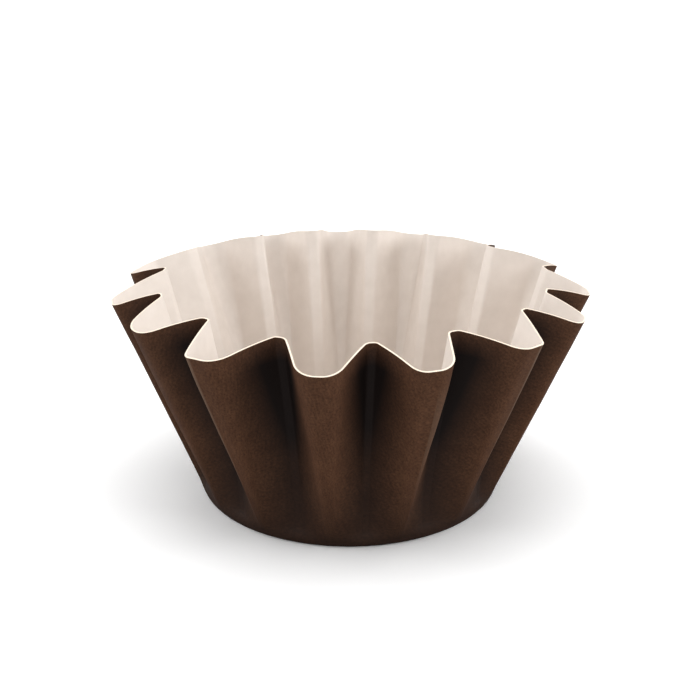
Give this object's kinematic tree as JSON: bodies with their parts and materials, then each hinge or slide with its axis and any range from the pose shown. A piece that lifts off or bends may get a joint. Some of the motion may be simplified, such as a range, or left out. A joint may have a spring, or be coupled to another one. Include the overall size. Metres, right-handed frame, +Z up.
{
  "type": "cupcake liner",
  "caption": "Folded paper baking cup: a flat round base, a flared wall of upright folds and a plain cut rim, open at the top.",
  "frame": {"origin": "centre of the base's underside, on the surface the liner stands on", "axes": "+Z up through the open mouth, -Y towards the front of the picture, +X to its right"},
  "size_m": [0.0766, 0.0785, 0.0362],
  "materials": {
    "paper": "matte brown outside, plain white inside"
  },
  "bodies": {
    "root": {"liner": "paper"}
  },
  "joints": []
}
